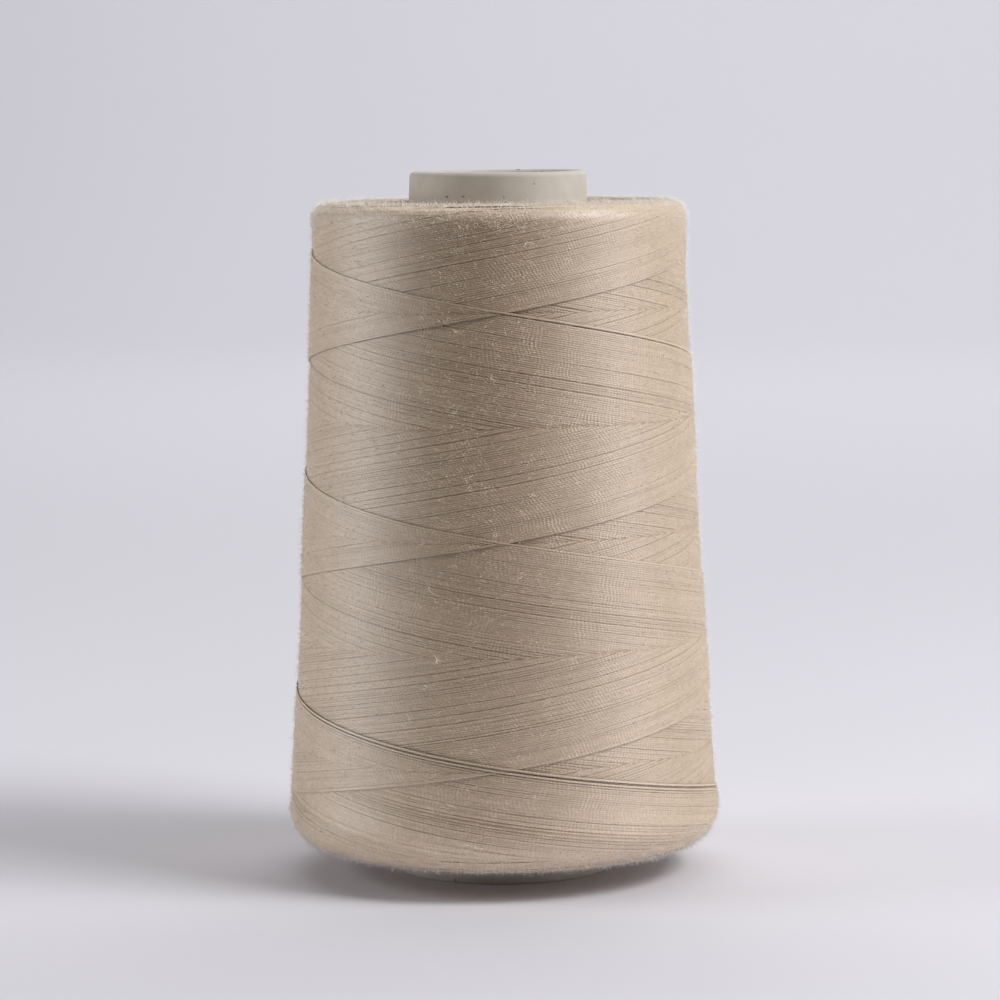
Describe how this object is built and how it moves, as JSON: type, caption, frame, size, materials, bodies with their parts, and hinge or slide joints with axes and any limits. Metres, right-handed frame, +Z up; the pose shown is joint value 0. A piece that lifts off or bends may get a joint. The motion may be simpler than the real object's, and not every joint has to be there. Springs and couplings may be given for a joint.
{
  "type": "cone of sewing thread",
  "caption": "Slim tapered package of beige spun sewing thread, cross-wound on a hollow speckled paper core that it stands on and that a spool pin goes up through.",
  "frame": {"origin": "centre of the core's base ring, on the surface that the cone stands on", "axes": "+Z up along the cone's axis towards its narrow end; -Y is the side that faces the picture's camera"},
  "size_m": [0.0692, 0.0692, 0.1121],
  "materials": {
    "core_paper": "matt off-white recycled paper tube with small dark specks and a smoothed, rolled rim",
    "spun_thread": "matt two-ply spun sewing thread in beige, slightly fuzzy, cross-wound"
  },
  "bodies": {
    "root": {"core": "core_paper", "thread_package": "spun_thread"}
  },
  "joints": []
}
